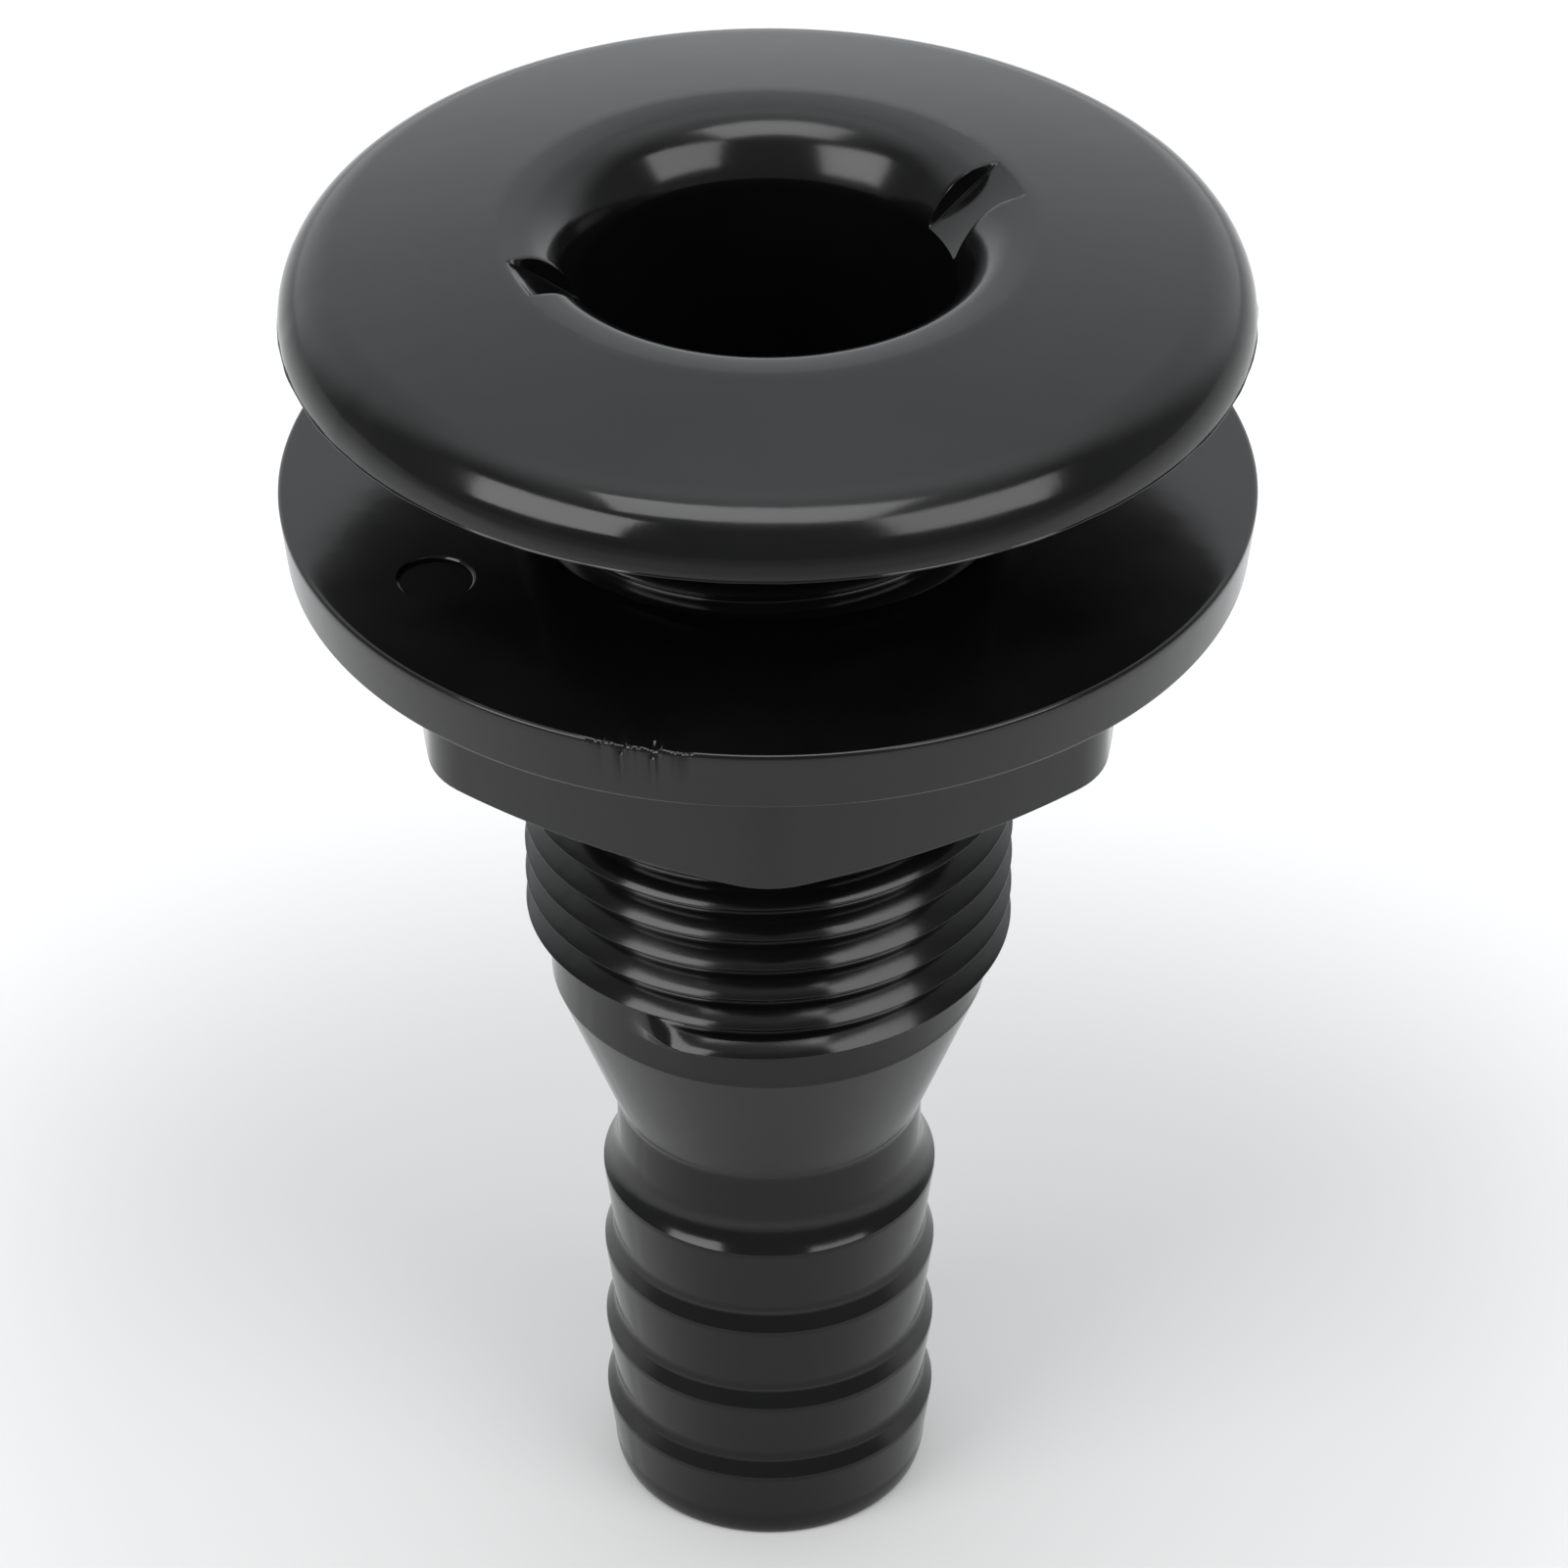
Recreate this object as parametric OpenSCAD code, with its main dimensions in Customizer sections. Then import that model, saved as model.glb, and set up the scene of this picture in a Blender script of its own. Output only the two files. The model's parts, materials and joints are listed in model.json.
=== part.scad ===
// Thru hull fitting with a screwed lock nut and a barbed hose tail, in millimetres.
// The origin is the centre of the head's seating face, which lies on the outside of the hull.
// +Z points out of the boat, through the head. The stem, the lock nut and the hose tail are below.

/* [Head] */
// Outer diameter of the head
head_d = 57.7; // [54:0.1:62]
// Height of the head, from its seating face to the ring where the mouth begins
head_h = 5.85; // [5.4:0.05:7]
// Radius of the shallow dome of the head's upper face
dome_r = 140; // [120:5:300]
// Radius of the head's rounded rim
rim_r = 4; // [3:0.1:4.2]
// Diameter of the ring where the upper face turns down into the mouth
mouth_d = 31.9; // [31:0.1:34]
// Diameter of the stem's bore
stem_bore_d = 22.4; // [20:0.1:23]
// Width of each of the two wrench notches in the mouth
notch_w = 4; // [3:0.1:5]
// Turn of the wrench notches from +X
notch_turn = 21; // [0:1:90]

/* [Threaded stem] */
// Outer diameter over the thread
thread_d = 30.2; // [29:0.1:30.4]
// Distance between two turns of the thread
thread_pitch = 2.26; // [2:0.01:2.4]
// Diameter at the bottom of the thread
root_d = 27.9; // [27.4:0.1:28.6]
// Diameter of the plain stem above and below the thread
plain_d = 27.2; // [26.6:0.1:27.2]
// Length of the thread below the seating face
thread_len = 44.7; // [42:0.1:45.5]
// Length from the seating face to the end of the plain stem
plain_end = 47.3; // [46.5:0.1:48]

/* [Hose tail] */
// Diameter of the plain neck, for a 3/4 inch (19 mm) hose
neck_d = 19.3; // [18.5:0.1:19.5]
// Length from the seating face to the end of the cone
cone_end = 57.6; // [56:0.1:59]
// Diameter over the barbs
barb_d = 21.16; // [20.6:0.02:22]
// Diameter of the valleys between the barbs
valley_d = 19.9; // [19.6:0.1:20.2]
// Length from the seating face to the first barb
first_barb = 63; // [61.5:0.1:63.5]
// Distance from one barb to the next
barb_pitch = 6.3; // [5.6:0.1:6.3]
// Distance from the third barb to the last one
last_pitch = 5.8; // [5.4:0.1:6.1]
// Whole length from the seating face to the tip
tail_len = 86.8; // [86:0.1:90]
// Bore of the hose tail
tail_bore_d = 14.5; // [12:0.1:15.5]

/* [Lock nut] */
// Diameter of the nut's flange
flange_d = 58.7; // [52:0.1:62]
// Thickness of the nut's flange
flange_t = 4; // [3:0.1:5]
// Distance across the flats of the hexagon
hex_af = 42.6; // [40:0.1:44]
// Radius of the hexagon's slightly convex sides
hex_side_r = 57; // [45:1:400]
// Radius of the hexagon's corners
hex_corner_r = 5.5; // [1:0.1:12]
// Height of the whole nut
nut_h = 14.2; // [11:0.1:16]
// Gap between the head and the nut, which takes the hull
hull_gap = 11.3; // [8:0.1:13]

/* [Hidden] */

$fn = 96;
shell = [0.05, 0.05, 0.055];

// Head: the dome's edge, and where its arc meets the rim's arc
head_r = head_d / 2;
mouth_r = mouth_d / 2;
seat_relief = 0.25;                                  // the wall under the rim narrows by this much
dome_centre_z = head_h - sqrt(dome_r * dome_r - mouth_r * mouth_r);
dome_edge = asin((head_r - rim_r) / (dome_r - rim_r));
rim_centre_z = dome_centre_z + (dome_r - rim_r) * cos(dome_edge);

// Mouth: arcs from the ring over the lip and down the throat, each with its radius
// and its slope from upright at its two ends
mouth_arcs = [
    [13, 90, 83],
    [2.26, 83, 61],
    [4, 61, 45],
    [4.5, 45, 36],
    [7, 36, 18]
];

// Wrench notches: a wedge whose floor runs down from the head's upper face into the bore
notch_r = 15.7;
notch_lip = 0.1;
notch_depth = 3.5;

// Thread: rings with sloping sides at the thread's pitch
thread_r = thread_d / 2;
root_r = root_d / 2;
plain_r = plain_d / 2;
crest_w = 0.16;
root_w = 0.1;
head_clear = 2.4;                                    // the least length of plain stem under the head
thread_turns = floor((thread_len - head_clear) / thread_pitch);
thread_start = thread_len - thread_turns * thread_pitch;

// Hose tail
neck_r = neck_d / 2;
barb_r = barb_d / 2;
valley_r = valley_d / 2;
tail_bore_r = tail_bore_d / 2;
shoulder_h = 1.25;                                   // height of the slope above each barb
land_h = 0.3;                                        // height of the narrow cylinder on each barb
barb_z = [for (i = [0:3]) -first_barb - min(i, 2) * barb_pitch - max(i - 2, 0) * last_pitch];
tip_r = 10.13;
tip_round = [0.56, 1.9];
funnel_top = 48;                                     // the stem's bore narrows to the tail's bore below this
funnel_end = 56;

// Lock nut
nut_top = -hull_gap;
flange_r = flange_d / 2;
flange_draft = 0.44;
liner_r = 15.9;                                      // the nut's thread is a lining of this outer radius
liner_gap = 0.05;
thread_clearance = 0.08;
mark_r = 2.35;                                       // ejector mark on the flange's upper face
mark_at = [22.4, 209.6];
mark_depth = 0.25;

// Points on an arc or an ellipse from one angle to another
function arc(centre, rx, rz, from, to, steps) = [
    for (i = [0:steps]) let (a = from + (to - from) * i / steps)
        centre + [rx * cos(a), rz * sin(a)]
];

// The mouth's arcs in turn, from the k-th one on, which starts at a point
function mouth_run(start, k) =
    k == len(mouth_arcs) ? [] :
    let (
        r = mouth_arcs[k][0],
        from = mouth_arcs[k][1],
        to = mouth_arcs[k][2],
        points = arc(start + r * [cos(from), -sin(from)], -r, r, from, to, 4)
    )
    concat([for (i = [1:4]) points[i]], mouth_run(points[4], k + 1));

// From the stem's bore up through the throat and over the lip to the ring
function mouth_profile() =
    let (down = concat([[mouth_r, head_h]], mouth_run([mouth_r, head_h], 0)))
    [for (i = [len(down) - 1:-1:0]) down[i]];

// The dome, the rounded rim and the seating face
function head_profile() = concat(
    arc([0, dome_centre_z], dome_r, dome_r, 90 - asin(mouth_r / dome_r), 90 - dome_edge, 8),
    arc([head_r - rim_r, rim_centre_z], rim_r, rim_r, 90 - dome_edge, 0, 10),
    [[head_r - seat_relief, 0], [plain_r, 0]]
);

// One ring of the thread, with its crest at z
function thread_ring(z) =
    let (half = (thread_pitch - root_w) / 2)
    [[root_r, z + half], [thread_r, z + crest_w / 2], [thread_r, z - crest_w / 2], [root_r, z - half]];

// The whole thread, with a small step to the plain stem at each end
function thread_profile() = concat(
    [[plain_r, -thread_start], [root_r, -thread_start]],
    [
        for (i = [0:thread_turns - 1])
            for (p = thread_ring(-thread_start - (i + 0.5) * thread_pitch)) p
    ],
    [[root_r, -thread_len], [plain_r, -thread_len]]
);

// One barb: the slope above it and its land, with its crest at z
function barb(z, above_r) = [[above_r, z + shoulder_h], [barb_r, z], [barb_r, z - land_h]];

function tail_profile() = concat(
    [[plain_r, -plain_end], [neck_r, -cone_end]],
    barb(barb_z[0], neck_r),
    barb(barb_z[1], valley_r),
    barb(barb_z[2], valley_r),
    barb(barb_z[3], valley_r),
    arc([tip_r - tip_round[0], tip_round[1] - tail_len], tip_round[0], tip_round[1], 0, -90, 6)
);

function bore_profile() = [
    [tail_bore_r + 0.5, -tail_len],
    [tail_bore_r, -tail_len + 0.5],
    [tail_bore_r, -funnel_end],
    [stem_bore_d / 2, -funnel_top]
];

function towards(angle) = [cos(angle), sin(angle)];

// A hexagon with slightly convex sides and rounded corners, whose arcs touch each other
function rounded_hex(af, side_r, corner_r) =
    let (
        side = af / 2 - side_r,
        corner = side * cos(30) + sqrt(pow(side_r - corner_r, 2) - pow(side * sin(30), 2)),
        touch = atan2(corner * sin(30), corner * cos(30) - side)
    )
    [
        for (k = [0:5])
            for (p = concat(
                [for (i = [-4:4]) side * towards(60 * k) + side_r * towards(60 * k + touch * i / 4)],
                [
                    for (i = [-2:2]) let (turn = 60 * k + 30 + (30 - touch) * i / 3)
                        corner * towards(60 * k + 30) + corner_r * towards(turn)
                ]
            )) p
    ];

// Head, threaded stem and hose tail, moulded in one piece
module fitting_body() {
    color(shell)
    difference() {
        rotate_extrude()
            polygon(concat(
                bore_profile(),
                mouth_profile(),
                head_profile(),
                thread_profile(),
                tail_profile()
            ));
        for (turn = [0, 180]) {
            rotate([0, 0, notch_turn + turn]) wrench_notch();
        }
    }
}

// The space that one wrench notch takes out of the mouth, towards +X
module wrench_notch() {
    rotate([90, 0, 0])
        linear_extrude(height = notch_w, center = true)
            polygon([
                [0, head_h - notch_depth],
                [stem_bore_d / 2, head_h - notch_depth],
                [notch_r, head_h - notch_lip],
                [notch_r, head_h + 1],
                [0, head_h + 1]
            ]);
}

// Flange and hexagon, moulded in one piece
module lock_nut() {
    color(shell)
    difference() {
        union() {
            rotate_extrude()
                polygon([
                    [0, nut_top],
                    [flange_r, nut_top],
                    [flange_r - flange_draft, nut_top - flange_t],
                    [0, nut_top - flange_t]
                ]);
            translate([0, 0, nut_top - nut_h])
                linear_extrude(height = nut_h - flange_t + 1)
                    polygon(rounded_hex(hex_af, hex_side_r, hex_corner_r));
        }
        translate([0, 0, nut_top - nut_h - 1])
            cylinder(h = nut_h + 2, r = liner_r + liner_gap);
        rotate([0, 0, mark_at[1]])
            translate([mark_at[0], 0, nut_top - mark_depth])
                cylinder(h = 1, r = mark_r);
    }
}

// The threaded lining of the nut, as a plain sleeve that clears the stem's thread
module nut_thread() {
    color(shell)
    translate([0, 0, nut_top - nut_h])
        difference() {
            cylinder(h = nut_h, r = liner_r);
            translate([0, 0, -1])
                cylinder(h = nut_h + 2, r = thread_r + thread_clearance);
        }
}

fitting_body();
lock_nut();
nut_thread();
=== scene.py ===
"""A moulded plastic thru hull fitting with its lock nut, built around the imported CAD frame.

The two mouldings are meshes whose rings and threads are worked out here, in millimetres.
Their places come from the frame's boxes, mounts and coupling.
"""
import json
import math

import bmesh
import bpy
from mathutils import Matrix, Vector


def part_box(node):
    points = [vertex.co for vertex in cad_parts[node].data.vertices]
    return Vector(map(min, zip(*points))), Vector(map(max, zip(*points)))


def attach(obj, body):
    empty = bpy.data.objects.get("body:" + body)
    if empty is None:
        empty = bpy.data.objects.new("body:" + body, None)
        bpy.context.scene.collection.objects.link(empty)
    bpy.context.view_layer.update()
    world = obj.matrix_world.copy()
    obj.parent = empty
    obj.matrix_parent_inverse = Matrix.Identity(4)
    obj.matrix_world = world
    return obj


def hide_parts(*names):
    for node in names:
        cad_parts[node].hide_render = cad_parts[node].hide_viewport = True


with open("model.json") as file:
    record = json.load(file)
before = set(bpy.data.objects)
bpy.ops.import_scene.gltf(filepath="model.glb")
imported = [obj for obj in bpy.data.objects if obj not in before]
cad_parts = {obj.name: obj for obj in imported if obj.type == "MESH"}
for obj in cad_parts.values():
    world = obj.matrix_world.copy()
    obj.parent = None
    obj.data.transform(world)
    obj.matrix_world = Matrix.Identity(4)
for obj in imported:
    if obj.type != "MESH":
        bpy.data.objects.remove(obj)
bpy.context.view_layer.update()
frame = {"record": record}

MM = 0.001

# ---------------------------------------------------------------- places that the frame gives
record = frame["record"]
mounts = {mount["name"]: mount for mount in record["mounts"]}
body_low, body_high = [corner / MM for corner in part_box("fitting_body")]
nut_low, nut_high = [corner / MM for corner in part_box("lock_nut")]
PITCH = record["behaviour"]["couplings"][0]["ratio"] * math.tau / MM

HEAD_R = body_high.x
HEAD_TOP = body_high.z
TIP_Z = body_low.z
SEAT_Z = mounts["head_seat"]["pos_m"][2] / MM
BARB_R = mounts["hose_barb"]["dims"]["r_mm"]
BARB_LAND = 0.3
# The mount starts in the middle of the first barb's land, and a barb's crest is the land's upper edge
BARB_FIRST = mounts["hose_barb"]["pos_m"][2] / MM + BARB_LAND / 2
NUT_TOP = nut_high.z
NUT_BOTTOM = nut_low.z
FLANGE_R = nut_high.x

# ---------------------------------------------------------------- shapes of the fitting's body
COLUMNS = 192
DOME_R = 140.0
RIM_R = 4.0
MOUTH_R = 15.95
# Each arc's radius, from the ring on the head's top down, and its slope from upright at its lower end
MOUTH_ARCS = ((13.0, 83.0), (2.26, 61.0), (4.0, 45.0), (4.5, 36.0), (7.0, 18.0))
STEM_BORE_R = 11.2
TAIL_BORE_R = 7.25
FUNNEL_TOP = -48.0
FUNNEL_END = -56.0
FUNNEL_FILLET = 3.0
# Amplitude of the ragged parting line
RAGGED = 0.018

THREAD_R = 15.1
ROOT_R = 13.88
# Turn in degrees and height at which the ridge starts
THREAD_START = (-130.0, -44.18)
THREAD_TOP = 4.0
# Degrees over which the ridge grows at its start and runs out at its end
THREAD_FADES = (20, 110)
CREST_FLAT = 0.06
ROOT_HALF_W = 0.04
EDGE_SOFT = 0.025
# How a side falls from crest to root: the linear and the square share, and where its rows are
FLANK = (0.985, 0.20)
FLANK_ROWS = (0.06, 0.3, 0.6, 0.86)

PLAIN_R = 13.6
PLAIN_END = -47.3
NECK_R = 9.65
CONE_END = -57.6
VALLEY_R = 9.95
BARB_PITCHES = (6.3, 6.3, 5.8)
# Height and foot fillet of the slope above the first barb, and of those above the others
FIRST_SHOULDER = (1.12, 3.8)
SHOULDER = (1.25, 1.5)
TIP_R = 10.13
TIP_ROUND = (0.56, 1.9)

NOTCH_TURNS = (21.0, 201.0)
NOTCH_HALF_W = 2.0
NOTCH_EDGE_W = 0.16
NOTCH_R = 15.7
# Radius at which a notch's sideways distances hold, and those of the columns on each side of its middle
NOTCH_REFERENCE_R = 13.5
NOTCH_OFFSETS = (0.6, 1.2, 1.6, 1.85, 1.94, 1.98, 2.02, 2.06, 2.15, 2.4)
NOTCH_CLEAR = 3.0
# Degrees from a notch's middle within which columns are moved, and the distances over which that ends
NOTCH_REACH = 40
NOTCH_PARALLEL = (6.5, 3)
# Radius and width of the ring in which the columns turn radial again
NOTCH_STRAIGHT = (18.5, 2)
# The end wall's top edge and the first row beyond it, outwards from NOTCH_R
NOTCH_END = (0.04, 0.06)
NOTCH_END_ROWS = (15.8, 15.76, 15.74, 15.72, 15.68, 15.6, 15.5, 15.4, 15.3, 15.2, 15.1)
NOTCH_END_SPAN = (15.05, 15.9)
NOTCH_STEP = 0.03
NOTCH_WALL_W = 0.3
NOTCH_EASE = 1.2
NOTCH_START_SLOPE = 0.35
NOTCH_SLOPE = math.tan(math.radians(40.2))
NOTCH_FADE_Z = -2.0

# ---------------------------------------------------------------- shapes of the nut
FLANGE_T = 4.0
FLANGE_LOW_R = FLANGE_R - 0.44
HEX_APOTHEM = 21.3
HEX_SIDE_R = 57.0
HEX_CORNER_R = 5.5
HEX_FOOT_FILLET = 0.45
HEX_DRAFT = 0.12
HEX_EDGE_R = 0.15
HEX_ROUND_STEPS = 5
NUT_MAJOR_R = 15.25
NUT_MINOR_R = 14.1
NUT_CHAMFER = 0.4
NUT_CHAMFER_W = 0.35
NUT_FADE = 60
NUT_COLUMNS = 240
# The ejector mark's distance from the axis and its turn in degrees
MARK_PLACE = (22.4, 209.6)
MARK_CLEAR = 3.2
MARK_R = 2.35
MARK_DEPTH = 0.25
# The scar's two ends in degrees, its depth inwards and downwards, and the columns across it
SCAR_ANGLES = (249.0, 262.0)
SCAR_DEPTH = (0.16, 0.22)
SCAR_COLUMNS = 70
SCAR_MARGIN = 0.6


# ---------------------------------------------------------------- outlines
def arc(centre_r, centre_z, radius_r, radius_z, start, end, steps):
    """Points on an arc or ellipse in the (r, z) plane, with its angles in degrees."""
    points = []
    for i in range(steps + 1):
        angle = math.radians(start + (end - start) * i / steps)
        r = centre_r + radius_r * math.cos(angle)
        points.append((r, centre_z + radius_z * math.sin(angle)))
    return points


def rounded(corners, steps=5):
    """An open outline from corners (r, z, fillet radius). The two ends stay sharp."""
    points = [corners[0][:2]]
    for before, corner, after in zip(corners, corners[1:], corners[2:]):
        at = Vector(corner[:2])
        into = (at - Vector(before[:2])).normalized()
        out = (Vector(after[:2]) - at).normalized()
        turn = math.atan2(into.x * out.y - into.y * out.x, into.dot(out))
        radius = corner[2] if len(corner) > 2 else 0.0
        if radius <= 0 or abs(turn) < 1e-4:
            points.append(tuple(at))
            continue
        start = at - into * (radius * math.tan(abs(turn) / 2))
        side = Vector((-into.y, into.x)) * (1 if turn > 0 else -1)
        centre = start + side * radius
        for i in range(steps + 1):
            angle = turn * i / steps
            arm = -side * radius
            x = arm.x * math.cos(angle) - arm.y * math.sin(angle)
            y = arm.x * math.sin(angle) + arm.y * math.cos(angle)
            points.append((centre.x + x, centre.y + y))
    points.append(tuple(corners[-1][:2]))
    return points


def smoothstep(value):
    value = min(max(value, 0.0), 1.0)
    return value * value * (3 - 2 * value)


# ---------------------------------------------------------------- mesh building
class Shell:
    """A closed mesh made of rings of vertices, one vertex for each column."""

    def __init__(self, angles):
        self.angles = angles
        self.vertices = []
        self.faces = []

    def add(self, x, y, z):
        self.vertices.append((x * MM, y * MM, z * MM))
        return len(self.vertices) - 1

    def ring(self, r, z):
        return [self.add(r * math.cos(a), r * math.sin(a), z) for a in self.angles]

    def bridge(self, lower, upper):
        count = len(lower)
        for i in range(count):
            j = (i + 1) % count
            self.faces.append((lower[i], lower[j], upper[j], upper[i]))

    def chain(self, rings):
        for lower, upper in zip(rings, rings[1:]):
            self.bridge(lower, upper)

    def helix(self, base, turns, steps, radius_at):
        """A thread's rows, which climb one pitch for each turn. steps are the rows' places within
        a pitch, from 0 to 1. radius_at(step, turn angle) gives the radius. It returns the rows
        from the lowest up."""
        rows = []
        for k in range(turns * len(steps) + 1):
            turn, step = k // len(steps), steps[k % len(steps)]
            row = []
            for angle in self.angles:
                z = base + PITCH * (turn + step + angle / math.tau)
                r = radius_at(step, math.tau * turn + angle)
                row.append(self.add(r * math.cos(angle), r * math.sin(angle), z))
            rows.append(row)
        last, per_turn = len(self.angles) - 1, len(steps)
        for k in range(len(rows) - 1):
            here, above = rows[k], rows[k + 1]
            for i in range(last):
                self.faces.append((here[i], here[i + 1], above[i + 1], above[i]))
            if k + 1 + per_turn < len(rows):
                after = k + per_turn
                self.faces.append((here[last], rows[after][0], rows[after + 1][0], above[last]))
        return rows

    def cap_helix(self, rows, per_turn, lower, upper):
        """Joins a thread's rows to the level ring below them and the level ring above."""
        last, top = len(self.angles) - 1, len(rows) - 1
        for i in range(last):
            self.faces.append((lower[i], lower[i + 1], rows[0][i + 1], rows[0][i]))
            self.faces.append((rows[top][i], rows[top][i + 1], upper[i + 1], upper[i]))
        climb = [rows[k][0] for k in range(per_turn + 1)]
        self.faces.append([lower[last], lower[0]] + climb + [rows[0][last]])
        climb = [rows[k][last] for k in range(top, top - per_turn - 1, -1)]
        self.faces.append([rows[top][0], upper[0], upper[last]] + climb)

    def build(self, name):
        mesh = bpy.data.meshes.new(name)
        mesh.from_pydata(self.vertices, [], self.faces)
        mesh.validate()
        sides = bmesh.new()
        sides.from_mesh(mesh)
        bmesh.ops.recalc_face_normals(sides, faces=sides.faces)
        sides.to_mesh(mesh)
        sides.free()
        mesh.update()
        piece = bpy.data.objects.new(name, mesh)
        bpy.context.scene.collection.objects.link(piece)
        return piece


# ---------------------------------------------------------------- threads
def thread_steps():
    """Rows within one pitch, from 0 to 1, with the ridge at 0.5, and each row's height from 0 to 1.
    The sides grow steeper towards the root. Close rows soften the edges of the crest and the root."""
    half = CREST_FLAT / 2 / PITCH
    foot = 0.5 - ROOT_HALF_W / PITCH
    soft = EDGE_SOFT / PITCH

    def drop(length):
        return FLANK[0] * length + FLANK[1] * length ** 2

    def flank(place):
        return 1 - drop((place - half) * PITCH) / drop((foot - half) * PITCH)

    right = [(0.0, 1.0), (half - soft * 0.6, 1.0), (half + soft * 0.6, flank(half + soft * 1.1))]
    for share in FLANK_ROWS:
        place = half + (foot - half) * share
        right.append((place, flank(place)))
    right += [(foot - soft * 1.6, 0.04), (foot + soft * 0.8, 0.005)]
    left = [(-place, height) for place, height in reversed(right[1:])]
    return [(0.5 + place, height) for place, height in left + right]


def thread_radius(profile, plain_r, low_r, high_r, fade):
    """The thread's radius, which fades to the plain radius at the thread's ends."""
    heights = dict(profile)

    def radius_at(step, turn_angle):
        return plain_r + (low_r + (high_r - low_r) * heights[step] - plain_r) * fade(turn_angle)

    return radius_at


# ---------------------------------------------------------------- the fitting's body
def notch_columns():
    """Column angles in radians, with close columns along both walls of each notch."""
    offsets = [-o for o in reversed(NOTCH_OFFSETS)] + [0.0] + list(NOTCH_OFFSETS)
    clear = math.asin(NOTCH_CLEAR / NOTCH_REFERENCE_R)
    angles = []
    for i in range(COLUMNS):
        angle = math.tau * i / COLUMNS
        if all(abs(off_notch(angle, turn)) > clear for turn in NOTCH_TURNS):
            angles.append(angle)
    for turn in NOTCH_TURNS:
        for offset in offsets:
            angles.append((math.radians(turn) + math.asin(offset / NOTCH_REFERENCE_R)) % math.tau)
    return sorted(angles)


def off_notch(angle, turn):
    """The signed angle from a notch's middle, in radians."""
    return (angle - math.radians(turn) + math.pi) % math.tau - math.pi


def notch_floor(r):
    """The floor's height, which starts nearly level at the outer end and then runs straight down."""
    inward = NOTCH_R - r
    bend = (NOTCH_SLOPE - NOTCH_START_SLOPE) / 2
    if inward < NOTCH_EASE:
        fall = NOTCH_START_SLOPE * inward + bend * inward ** 2 / NOTCH_EASE
    else:
        fall = NOTCH_SLOPE * inward - bend * NOTCH_EASE
    return HEAD_TOP - NOTCH_STEP - fall


def notch_cut(r, z):
    """How far a notch lowers the mouth's surface at (r, z), and how straight its walls run there."""
    wall_top, beyond = NOTCH_END
    if r >= NOTCH_R + beyond:
        return 0.0, smoothstep((NOTCH_STRAIGHT[0] - r) / NOTCH_STRAIGHT[1])
    throat_end_z = mouth_outline()[-1][1]
    if z < throat_end_z:
        share = (z - NOTCH_FADE_Z) / (throat_end_z - NOTCH_FADE_Z)
        if share <= 0:
            return 0.0, 0.0
        return max(throat_end_z - notch_floor(STEM_BORE_R), 0.0) * share, smoothstep(share)
    wall = min((NOTCH_R + wall_top - r) / NOTCH_WALL_W, 1.0)
    return max(z - notch_floor(min(r, NOTCH_R)), 0.0) * wall, 1.0


def notch_share(offset):
    """1 inside a notch and 0 outside, with a rounded edge at the top and bottom of its wall."""
    return smoothstep((NOTCH_HALF_W - abs(offset)) / NOTCH_EDGE_W + 0.5)


def mouth_ring(shell, r, z):
    """A ring of the mouth, which the two notches cut."""
    depth, straight = notch_cut(r, z)
    ring = []
    for angle in shell.angles:
        drop, at = 0.0, angle
        for turn in NOTCH_TURNS:
            off = off_notch(angle, turn)
            if abs(off) < math.radians(NOTCH_REACH):
                offset = NOTCH_REFERENCE_R * math.sin(off)
                parallel = math.asin(max(min(offset / r, 1.0), -1.0))
                near = smoothstep((NOTCH_PARALLEL[0] - abs(offset)) / NOTCH_PARALLEL[1])
                at = angle + (parallel - off) * near * straight
                drop = depth * notch_share(offset)
        ring.append(shell.add(r * math.cos(at), r * math.sin(at), z - drop))
    return ring


def throat_arc(start, radius, slope_from, slope_to, steps):
    """Points down an arc that starts at a point, with its slope measured from upright."""
    slope = math.radians(slope_from)
    centre = (start[0] + radius * math.cos(slope), start[1] - radius * math.sin(slope))
    return arc(*centre, -radius, radius, slope_from, slope_to, steps)


def mouth_outline():
    """From the ring on the head's top, over the lip, down to the stem's bore."""
    points, slope = [(MOUTH_R, HEAD_TOP)], 90.0
    for radius, end in MOUTH_ARCS:
        points += throat_arc(points[-1], radius, slope, end, 9)[1:]
        slope = end
    return points


def with_notch_rows(outline):
    """Adds close rows at the notches' outer end, where the lip is nearly level."""
    flat_r = MOUTH_ARCS[0][0]
    extra = []
    for row_r in NOTCH_END_ROWS:
        extra.append((row_r, HEAD_TOP - flat_r + math.sqrt(flat_r ** 2 - (MOUTH_R - row_r) ** 2)))
    low_r, high_r = NOTCH_END_SPAN
    kept = [point for point in outline if not low_r < point[0] < high_r]
    return sorted(kept + extra, key=lambda point: -point[0])


def dome_outline():
    """From the ring on the head's top out to the rim, and down the rim to the seat."""
    centre_z = HEAD_TOP - math.sqrt(DOME_R ** 2 - MOUTH_R ** 2)
    ring_angle = 90 - math.degrees(math.asin(MOUTH_R / DOME_R))
    edge_angle = 90 - math.degrees(math.asin((HEAD_R - RIM_R) / (DOME_R - RIM_R)))
    dome = arc(0, centre_z, DOME_R, DOME_R, ring_angle, edge_angle, 16)
    rim_z = centre_z + (DOME_R - RIM_R) * math.sin(math.radians(edge_angle))
    rim = arc(HEAD_R - RIM_R, rim_z, RIM_R, RIM_R, edge_angle, 0, 22)
    return dome + rim[1:]


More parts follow.
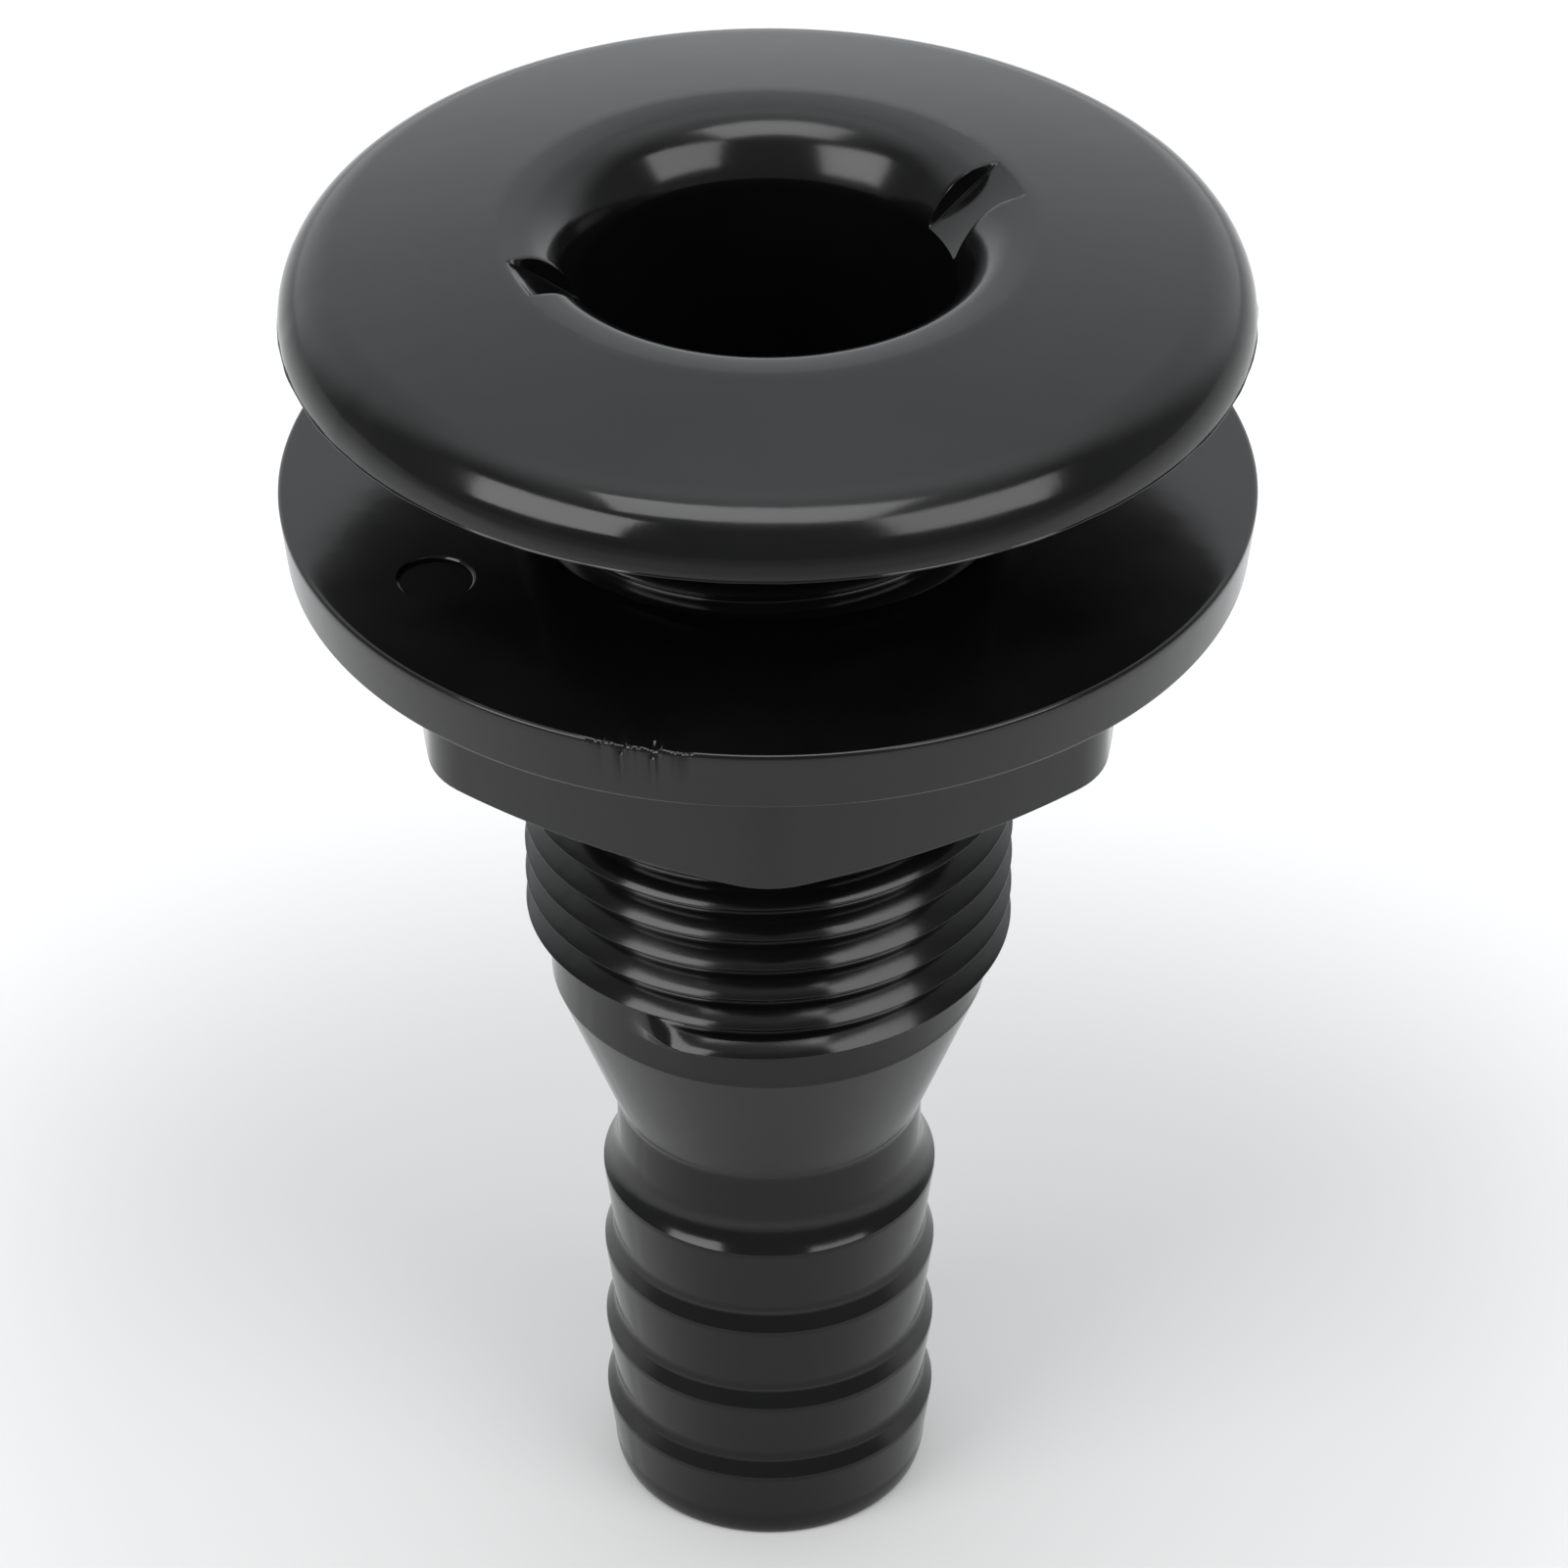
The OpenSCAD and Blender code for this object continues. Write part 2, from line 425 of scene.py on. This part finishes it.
def seat_outline():
    """The parting line at the foot of the rim, and the seat in to the stem."""
    return rounded([
        (HEAD_R, SEAT_Z + 0.42),
        (HEAD_R - 0.01, SEAT_Z + 0.34, 0.04),
        (HEAD_R + 0.05, SEAT_Z + 0.26, 0.03),
        (HEAD_R + 0.04, SEAT_Z + 0.20, 0.03),
        (HEAD_R - 0.12, SEAT_Z + 0.17, 0.05),
        (HEAD_R - 0.28, SEAT_Z, 0.08),
        (PLAIN_R + 6.0, SEAT_Z),
        (PLAIN_R, SEAT_Z, 0.4),
        (PLAIN_R, SEAT_Z - 1.5),
    ], 4)


def flash_ring(shell, r, z):
    """A ring of the seat, whose parting line is a little ragged."""
    ring = []
    for angle in shell.angles:
        wave = math.sin(angle * 37 + 1) + math.sin(angle * 61 + 2) * 0.8 + math.sin(angle * 23) * 0.7
        ragged = RAGGED * wave if r > HEAD_R else 0.0
        ring.append(shell.add((r + ragged) * math.cos(angle), (r + ragged) * math.sin(angle), z))
    return ring


def tail_outline():
    """From under the thread down to the tip and round it into the bore."""
    corners = [
        (PLAIN_R, PLAIN_END + 0.42),
        (PLAIN_R, PLAIN_END, 0.35),
        (NECK_R, CONE_END, 1.6),
        (NECK_R, BARB_FIRST + FIRST_SHOULDER[0], FIRST_SHOULDER[1]),
    ]
    crest = BARB_FIRST
    for gap in BARB_PITCHES + (None,):
        corners.append((BARB_R, crest, 0.07))
        corners.append((BARB_R, crest - BARB_LAND, 0.1))
        if gap:
            crest -= gap
            corners.append((VALLEY_R, crest + SHOULDER[0], SHOULDER[1]))
    outline = rounded(corners + [(TIP_R, TIP_Z + TIP_ROUND[1])], 6)
    tip = arc(TIP_R - TIP_ROUND[0], TIP_Z + TIP_ROUND[1], *TIP_ROUND, 0, -90, 10)
    mouth = rounded([
        tip[-1],
        (TAIL_BORE_R + 0.3, TIP_Z, 0.2),
        (TAIL_BORE_R, TIP_Z + 0.5, 0.2),
        (TAIL_BORE_R, -80.0),
    ], 4)
    return outline[:-1] + tip + mouth[1:]


def bore_outline():
    """From the tail's bore up to the foot of the throat."""
    corners = [
        (TAIL_BORE_R, -78.0),
        (TAIL_BORE_R, FUNNEL_END, FUNNEL_FILLET),
        (STEM_BORE_R, FUNNEL_TOP, FUNNEL_FILLET),
        (STEM_BORE_R, -10.0),
    ]
    levels = [-6.0, -3.5, NOTCH_FADE_Z, -1.4, -0.8, -0.2, 0.4, 1.0, 1.5, 1.9]
    return rounded(corners, 6) + [(STEM_BORE_R, z) for z in levels]


def make_body():
    shell = Shell(notch_columns())
    profile = thread_steps()
    start_angle = math.radians(THREAD_START[0]) % math.tau
    base = THREAD_START[1] - PITCH * (0.5 + start_angle / math.tau)
    turns = math.floor((SEAT_Z - THREAD_TOP + 1.0 - base) / PITCH) - 1

    def fade(turn_angle):
        grown = smoothstep((turn_angle - start_angle) / math.radians(THREAD_FADES[0]))
        ended = smoothstep((math.tau * (turns - 0.05) - turn_angle) / math.radians(THREAD_FADES[1]))
        return grown * ended

    inner = [mouth_ring(shell, r, z) for r, z in bore_outline()]
    mouth = [mouth_ring(shell, r, z) for r, z in reversed(with_notch_rows(mouth_outline()))]
    dome = [mouth_ring(shell, r, z) for r, z in dome_outline()[1:]]
    seat = [flash_ring(shell, r, z) for r, z in seat_outline()[1:]]
    steps = [place for place, height in profile]
    radius_at = thread_radius(profile, PLAIN_R, ROOT_R, THREAD_R, fade)
    rows = shell.helix(base, turns, steps, radius_at)
    tail = [shell.ring(r, z) for r, z in tail_outline()]
    shell.chain(inner + mouth + dome + seat)
    shell.cap_helix(rows, len(steps), tail[0], seat[-1])
    shell.chain(tail + [inner[0]])
    return shell.build("fitting_body_shell")


# ---------------------------------------------------------------- the lock nut
def hex_point(angle, grow):
    """The point at an angle on a hexagon with convex sides and rounded corners, grown by a distance.
    One of its corners points to -Y."""
    side = HEX_APOTHEM - HEX_SIDE_R
    tip = math.radians(30)
    reach = math.sqrt((HEX_SIDE_R - HEX_CORNER_R) ** 2 - (side * math.sin(tip)) ** 2)
    corner = side * math.cos(tip) + reach
    touch = math.atan2(corner * math.sin(tip), corner * math.cos(tip) - side)
    middle = round(angle / math.radians(60)) * math.radians(60)
    off = angle - middle
    corner_x, corner_y = corner * math.cos(tip), math.copysign(corner * math.sin(tip), off)
    edge_r = math.hypot(side + HEX_SIDE_R * math.cos(touch), HEX_SIDE_R * math.sin(touch))
    edge_angle = math.asin(HEX_SIDE_R * math.sin(touch) / edge_r)
    if abs(off) <= edge_angle:
        centre, radius = (side, 0.0), HEX_SIDE_R
    else:
        centre, radius = (corner_x, corner_y), HEX_CORNER_R
    along = centre[0] * math.cos(off) + centre[1] * math.sin(off)
    across = centre[1] * math.cos(off) - centre[0] * math.sin(off)
    r = along + math.sqrt(radius ** 2 - across ** 2)
    out_x = (r * math.cos(off) - centre[0]) / radius
    out_y = (r * math.sin(off) - centre[1]) / radius
    x, y = r * math.cos(off) + grow * out_x, r * math.sin(off) + grow * out_y
    turned_x = x * math.cos(middle) - y * math.sin(middle)
    turned_y = x * math.sin(middle) + y * math.cos(middle)
    return turned_x, turned_y


def hex_ring(shell, grow, z):
    """A ring of the hexagon, grown outwards by a distance."""
    return [shell.add(*hex_point(angle, grow), z) for angle in shell.angles]


def nut_columns():
    """Even columns, with close ones at the scar on the flange's edge."""
    start, end = SCAR_ANGLES
    angles = [math.tau * i / NUT_COLUMNS for i in range(NUT_COLUMNS)]
    kept = [a for a in angles if not start - SCAR_MARGIN < math.degrees(a) < end + SCAR_MARGIN]
    close = [math.radians(start + (end - start) * i / SCAR_COLUMNS) for i in range(SCAR_COLUMNS + 1)]
    return sorted(kept + close)


def scarred_ring(shell, r, z):
    """A ring of the flange's edge, roughened where the moulding was broken off its runner."""
    start, end = SCAR_ANGLES
    ring = []
    for angle in shell.angles:
        place = (math.degrees(angle) - start) / (end - start)
        rough = 0.0
        if 0 < place < 1:
            wave = math.sin(place * 41 + 1) * 0.5 + math.sin(place * 97 + r * 3) * 0.3 + math.sin(place * 23)
            rough = smoothstep(place * 6) * smoothstep((1 - place) * 6) * (0.55 + 0.45 * wave)
        near = r - SCAR_DEPTH[0] * rough
        ring.append(shell.add(near * math.cos(angle), near * math.sin(angle), z - SCAR_DEPTH[1] * rough))
    return ring


def cut_mark(piece):
    """Sinks the ejector mark into the flange's upper face."""
    turn = math.radians(MARK_PLACE[1])
    count = 64
    cutter = Shell([math.tau * i / count for i in range(count)])
    profile = [
        (MARK_R + 0.05, 0.3),
        (MARK_R, -0.02),
        (MARK_R - 0.1, -MARK_DEPTH + 0.06),
        (MARK_R - 0.22, -MARK_DEPTH),
    ]
    rings = [cutter.ring(r, z) for r, z in profile]
    cutter.chain(rings)
    cutter.faces.append(list(reversed(rings[0])))
    cutter.faces.append(rings[-1])
    tool = cutter.build("mark_cutter")
    away = MARK_PLACE[0]
    tool.location = (away * math.cos(turn) * MM, away * math.sin(turn) * MM, NUT_TOP * MM)
    cut = piece.modifiers.new("cut", "BOOLEAN")
    cut.operation = "DIFFERENCE"
    cut.object = tool
    bpy.context.view_layer.update()
    evaluated = piece.evaluated_get(bpy.context.evaluated_depsgraph_get())
    done = bpy.data.meshes.new_from_object(evaluated)
    piece.modifiers.clear()
    piece.data = done
    bpy.data.objects.remove(tool)


def make_nut():
    shell = Shell(nut_columns())
    profile = thread_steps()
    steps = [place for place, height in profile]
    start_angle = math.radians(THREAD_START[0]) % math.tau
    body_base = THREAD_START[1] - PITCH * (0.5 + start_angle / math.tau)
    skipped = math.ceil((NUT_BOTTOM + NUT_CHAMFER - body_base) / PITCH - 0.5)
    base = body_base + PITCH * (skipped + 0.5)
    turns = math.floor((NUT_TOP - NUT_CHAMFER - base) / PITCH) - 1

    def fade(turn_angle):
        grown = smoothstep(turn_angle / math.radians(NUT_FADE) - 0.1)
        ended = smoothstep((math.tau * turns - turn_angle) / math.radians(NUT_FADE) - 0.1)
        return grown * ended

    radius_at = thread_radius(profile, NUT_MAJOR_R, NUT_MAJOR_R, NUT_MINOR_R, fade)
    rows = shell.helix(base, turns, steps, radius_at)
    flange_low = NUT_TOP - FLANGE_T
    top = rounded([
        (NUT_MAJOR_R, NUT_TOP - NUT_CHAMFER),
        (NUT_MAJOR_R + NUT_CHAMFER_W, NUT_TOP, 0.1),
        (MARK_PLACE[0] - MARK_CLEAR, NUT_TOP),
        (MARK_PLACE[0] + MARK_CLEAR, NUT_TOP),
        (FLANGE_R - 0.9, NUT_TOP),
        (FLANGE_R, NUT_TOP, 0.3),
        (FLANGE_R - 0.08, NUT_TOP - 0.75),
        (FLANGE_LOW_R, flange_low, 0.35),
        (24.3, flange_low),
    ], 5)
    rings = []
    for r, z in top:
        at_scar = r > FLANGE_R - 0.8 and z > NUT_TOP - 0.5
        rings.append(scarred_ring(shell, r, z) if at_scar else shell.ring(r, z))
    for i in range(HEX_ROUND_STEPS + 1):
        angle = math.radians(90 - 90 * i / HEX_ROUND_STEPS)
        out = HEX_FOOT_FILLET * (1 - math.cos(angle))
        rings.append(hex_ring(shell, out, flange_low - HEX_FOOT_FILLET * (1 - math.sin(angle))))
    for i in range(HEX_ROUND_STEPS + 1):
        angle = math.radians(90 * i / HEX_ROUND_STEPS)
        out = -HEX_DRAFT - HEX_EDGE_R * (1 - math.cos(angle))
        rings.append(hex_ring(shell, out, NUT_BOTTOM + HEX_EDGE_R * (1 - math.sin(angle))))
    bottom = rounded([
        (18.0, NUT_BOTTOM),
        (NUT_MAJOR_R + NUT_CHAMFER_W, NUT_BOTTOM, 0.1),
        (NUT_MAJOR_R, NUT_BOTTOM + NUT_CHAMFER),
    ], 4)
    rings += [shell.ring(r, z) for r, z in bottom]
    shell.chain(rings)
    shell.cap_helix(rows, len(steps), rings[-1], rings[0])
    nut = shell.build("lock_nut_shell")
    cut_mark(nut)
    return nut


# ---------------------------------------------------------------- materials
def map_range(tree, value, start, end, low, high, smooth=False):
    """Maps a value's range, start to end, to the range low to high."""
    node = tree.nodes.new("ShaderNodeMapRange")
    if smooth:
        node.interpolation_type = "SMOOTHSTEP"
    node.inputs["From Min"].default_value = start
    node.inputs["From Max"].default_value = end
    node.inputs["To Min"].default_value = low
    node.inputs["To Max"].default_value = high
    tree.links.new(value, node.inputs["Value"])
    return node.outputs["Result"]


def combine(tree, operation, first, second):
    """The sum or the product of two values."""
    node = tree.nodes.new("ShaderNodeMath")
    node.operation = operation
    tree.links.new(first, node.inputs[0])
    tree.links.new(second, node.inputs[1])
    return node.outputs["Value"]


def moulded_plastic(name, shade, gloss, seed):
    """Black moulded plastic: glossy, slightly uneven, with fine dust and small scuffs."""
    material = bpy.data.materials.new(name)
    material.use_nodes = True
    tree = material.node_tree
    nodes, links = tree.nodes, tree.links
    nodes.clear()
    output = nodes.new("ShaderNodeOutputMaterial")
    shader = nodes.new("ShaderNodeBsdfPrincipled")
    links.new(shader.outputs["BSDF"], output.inputs["Surface"])
    shader.inputs["IOR"].default_value = 1.5
    shader.inputs["Specular IOR Level"].default_value = 0.31
    place = nodes.new("ShaderNodeTexCoord")
    shifted = nodes.new("ShaderNodeMapping")
    shifted.inputs["Location"].default_value = (seed, seed * 0.7, seed * 0.3)
    links.new(place.outputs["Object"], shifted.inputs["Vector"])

    def noise(scale, detail, roughness):
        node = nodes.new("ShaderNodeTexNoise")
        node.inputs["Scale"].default_value = scale
        node.inputs["Detail"].default_value = detail
        node.inputs["Roughness"].default_value = roughness
        links.new(shifted.outputs["Vector"], node.inputs["Vector"])
        return node.outputs["Fac"]

    cloud = noise(90.0, 4.0, 0.55)
    grain = noise(1400.0, 3.0, 0.6)
    specks = nodes.new("ShaderNodeTexVoronoi")
    specks.inputs["Scale"].default_value = 260.0
    links.new(shifted.outputs["Vector"], specks.inputs["Vector"])
    chosen = nodes.new("ShaderNodeSeparateColor")
    links.new(specks.outputs["Color"], chosen.inputs["Color"])
    near = map_range(tree, specks.outputs["Distance"], 0.012, 0.03, 1.0, 0.0)
    rare = map_range(tree, chosen.outputs["Red"], 0.84, 0.86, 0.0, 1.0)

    colour = nodes.new("ShaderNodeMix")
    colour.data_type = "RGBA"
    colour.inputs["A"].default_value = (shade, shade, shade * 1.04, 1)
    colour.inputs["B"].default_value = (shade * 1.5, shade * 1.5, shade * 1.6, 1)
    links.new(map_range(tree, cloud, 0.35, 0.65, 0.0, 1.0), colour.inputs["Factor"])
    dusty = nodes.new("ShaderNodeMix")
    dusty.data_type = "RGBA"
    dusty.inputs["B"].default_value = (0.2, 0.2, 0.19, 1)
    links.new(colour.outputs["Result"], dusty.inputs["A"])
    links.new(combine(tree, "MULTIPLY", near, rare), dusty.inputs["Factor"])
    links.new(dusty.outputs["Result"], shader.inputs["Base Color"])

    uneven = map_range(tree, cloud, 0.3, 0.7, gloss - 0.03, gloss + 0.05)
    links.new(uneven, shader.inputs["Roughness"])

    height = nodes.new("ShaderNodeMath")
    height.operation = "MULTIPLY_ADD"
    height.inputs[1].default_value = 0.12
    links.new(grain, height.inputs[0])
    links.new(noise(220.0, 2.0, 0.5), height.inputs[2])
    bump = nodes.new("ShaderNodeBump")
    bump.inputs["Strength"].default_value = 0.5
    bump.inputs["Distance"].default_value = 0.00004
    links.new(height.outputs["Value"], bump.inputs["Height"])
    links.new(bump.outputs["Normal"], shader.inputs["Normal"])
    return material


def pale_floor():
    """A white table top with an even faint glow, a little darker where the fitting stands and in front of
    it: painted shade, a painted contact shadow round the fitting and a painted shadow in front.
    """
    material = bpy.data.materials.new("pale_floor")
    material.use_nodes = True
    tree = material.node_tree
    nodes, links = tree.nodes, tree.links
    shader = nodes["Principled BSDF"]
    place = nodes.new("ShaderNodeTexCoord")
    split = nodes.new("ShaderNodeSeparateXYZ")
    links.new(place.outputs["Object"], split.inputs["Vector"])
    level = nodes.new("ShaderNodeCombineXYZ")
    links.new(split.outputs["X"], level.inputs["X"])
    links.new(split.outputs["Y"], level.inputs["Y"])
    length = nodes.new("ShaderNodeVectorMath")
    length.operation = "LENGTH"
    links.new(level.outputs["Vector"], length.inputs[0])

    # Painted contact shadow: the floor's colour darkens towards the fitting's foot.
    painted_contact_shadow = map_range(tree, length.outputs["Value"], 0.04, 0.10, 0.40, 0.60, smooth=True)
    # Painted shadow: the floor's colour darkens in front of the fitting, on the camera's side.
    painted_front_shadow = map_range(tree, split.outputs["Y"], -0.20, -0.10, 0.62, 1.0, smooth=True)
    # The two painted shadows together set the floor's colour.
    shade = combine(tree, "MULTIPLY", painted_contact_shadow, painted_front_shadow)
    grey = nodes.new("ShaderNodeCombineColor")
    for channel in ("Red", "Green", "Blue"):
        links.new(shade, grey.inputs[channel])
    links.new(grey.outputs["Color"], shader.inputs["Base Color"])
    shader.inputs["Roughness"].default_value = 0.9
    shader.inputs["Specular IOR Level"].default_value = 0.1
    shader.inputs["Emission Color"].default_value = (1, 1, 1, 1)
    shader.inputs["Emission Strength"].default_value = 0.15
    return material


# ---------------------------------------------------------------- the two pieces
def finish_piece(piece, body, material, nodes):
    """Smooths a piece, gives it its material and hangs it on its body."""
    piece.data.materials.append(material)
    for polygon in piece.data.polygons:
        polygon.use_smooth = True
    piece.data.set_sharp_from_angle(angle=math.radians(38))
    normals = piece.modifiers.new("normals", "WEIGHTED_NORMAL")
    normals.weight = 100
    normals.keep_sharp = True
    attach(piece, body)
    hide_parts(*nodes)


finish_piece(
    make_body(), "body",
    moulded_plastic("body_plastic", shade=0.0018, gloss=0.13, seed=0.0),
    ["fitting_body"],
)
finish_piece(
    make_nut(), "nut",
    moulded_plastic("nut_plastic", shade=0.002, gloss=0.16, seed=3.0),
    ["lock_nut", "nut_thread"],
)


# ---------------------------------------------------------------- the studio
def facing(origin, target):
    return (Vector(target) - Vector(origin)).to_track_quat("-Z", "Y").to_euler()


def make_floor():
    half = 4.0
    mesh = bpy.data.meshes.new("floor")
    z = TIP_Z * MM
    corners = [(-half, -half, z), (half, -half, z), (half, half, z), (-half, half, z)]
    mesh.from_pydata(corners, [], [(0, 1, 2, 3)])
    floor = bpy.data.objects.new("floor", mesh)
    mesh.materials.append(pale_floor())
    bpy.context.scene.collection.objects.link(floor)


def softbox(name, azimuth, elevation, distance, width, height, roll, radiance):
    """An area light that faces the head. Azimuth 0 is the camera's side and 90 is +X."""
    a, e = math.radians(azimuth), math.radians(elevation)
    target = Vector((0, -0.02, 0))
    towards = Vector((math.sin(a) * math.cos(e), -math.cos(a) * math.cos(e), math.sin(e)))
    place = target + distance * towards
    data = bpy.data.lights.new(name, "AREA")
    data.shape = "RECTANGLE"
    data.size, data.size_y = width, height
    data.energy = radiance * math.pi * width * height
    light = bpy.data.objects.new(name, data)
    light.location = place
    light.rotation_euler = facing(place, target)
    light.rotation_euler.rotate_axis("Z", math.radians(roll))
    bpy.context.scene.collection.objects.link(light)


def make_world(wall, top, dim):
    """A room with a bright wall behind the fitting, a brighter ceiling, and dim sides and front."""
    world = bpy.data.worlds.new("studio")
    world.use_nodes = True
    tree = world.node_tree
    nodes, links = tree.nodes, tree.links
    background = nodes["Background"]
    place = nodes.new("ShaderNodeTexCoord")
    split = nodes.new("ShaderNodeSeparateXYZ")
    links.new(place.outputs["Generated"], split.inputs["Vector"])

    behind = nodes.new("ShaderNodeMath")
    behind.operation = "MULTIPLY_ADD"
    behind.inputs[1].default_value = 0.6
    links.new(split.outputs["Z"], behind.inputs[0])
    links.new(split.outputs["Y"], behind.inputs[2])
    wall_light = map_range(tree, behind.outputs["Value"], 0.35, 0.85, dim, wall, smooth=True)
    ceiling_light = map_range(tree, split.outputs["Z"], 0.70, 0.97, 0.0, top, smooth=True)
    links.new(combine(tree, "ADD", wall_light, ceiling_light), background.inputs["Strength"])
    background.inputs["Color"].default_value = (0.96, 0.98, 1.0, 1)
    bpy.context.scene.world = world


def make_camera():
    """A long lens, 453 mm from its target and 35.5 degrees above the level."""
    distance, elevation = 0.4528, math.radians(35.54)
    target = Vector((0, 0, -0.03414))
    data = bpy.data.cameras.new("camera")
    data.sensor_width = 36.0
    data.lens = 168.57
    data.shift_x = 0.0099
    data.clip_start = 0.01
    camera = bpy.data.objects.new("camera", data)
    camera.location = target + distance * Vector((0, -math.cos(elevation), math.sin(elevation)))
    camera.rotation_euler = facing(camera.location, target)
    camera.rotation_euler.rotate_axis("Z", math.radians(-0.125))
    bpy.context.scene.collection.objects.link(camera)
    bpy.context.scene.camera = camera


make_floor()
make_world(wall=1.38, top=0.75, dim=0.36)
softbox(
    "overhead", azimuth=-8, elevation=73, distance=0.5,
    width=0.40, height=0.225, roll=0, radiance=5.2,
)
softbox(
    "side_left", azimuth=-54, elevation=30, distance=0.4,
    width=0.252, height=0.225, roll=10, radiance=5.9,
)
softbox(
    "side_right", azimuth=52, elevation=35.5, distance=0.4,
    width=0.26, height=0.222, roll=-15, radiance=4.8,
)
make_camera()
bpy.context.scene.view_settings.view_transform = "Standard"
